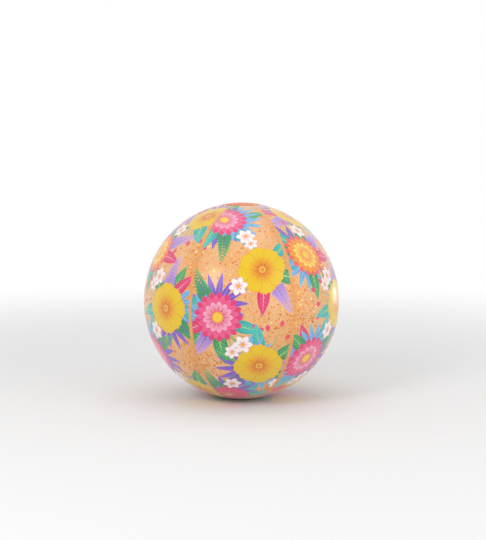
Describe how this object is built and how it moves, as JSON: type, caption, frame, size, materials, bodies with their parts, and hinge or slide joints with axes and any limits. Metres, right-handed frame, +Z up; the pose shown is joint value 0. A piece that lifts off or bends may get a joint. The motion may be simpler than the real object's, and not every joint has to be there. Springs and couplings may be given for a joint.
{
  "type": "inflatable beach ball",
  "caption": "Inflated ball of welded translucent film gores with pole discs, loose glitter inside and a push-in valve closed by a tethered plug.",
  "frame": {"origin": "middle of the flattened patch that the ball rests on, under its lower pole", "axes": "+Z up through both poles, -Y out of the middle of the front gore, +Y out of the valve"},
  "size_m": [0.398, 0.3994, 0.4],
  "materials": {
    "printed_film": "glossy translucent peach vinyl film, printed outside with flowers and leaves",
    "valve_vinyl": "satin, milky clear soft vinyl",
    "glitter": "metallised gold, orange and copper flakes"
  },
  "bodies": {
    "ball": {"front_gore": "printed_film", "front_right_gore": "printed_film", "back_right_gore": "printed_film", "back_gore": "printed_film", "back_left_gore": "printed_film", "front_left_gore": "printed_film", "top_pole_cap": "printed_film", "bottom_pole_cap": "printed_film", "glitter_drift": "glitter", "valve_flange": "valve_vinyl", "valve_skirt": "valve_vinyl"},
    "valve_stem": {"valve_stem": "valve_vinyl"},
    "valve_plug": {"valve_plug": "valve_vinyl", "plug_strap": "valve_vinyl"},
    "check_flap": {"check_flap": "valve_vinyl"}
  },
  "joints": [
    {"name": "valve_slide", "type": "slide", "parent": "ball", "child": "valve_stem", "axis": [0, 1, 0], "range_m": [0, 0.014], "deforming": ["valve_skirt"]},
    {"name": "plug_flip", "type": "hinge", "parent": "valve_stem", "child": "valve_plug", "pos_m": [0, 0.19822, 0.18843], "axis": [-1, 0, 0], "range_deg": [0, 140]},
    {"name": "flap_swing", "type": "hinge", "parent": "valve_stem", "child": "check_flap", "pos_m": [0, 0.18412, 0.20523], "axis": [-1, 0, 0], "range_deg": [0, 70], "stiffness_Nm_per_rad": 0.00002}
  ]
}
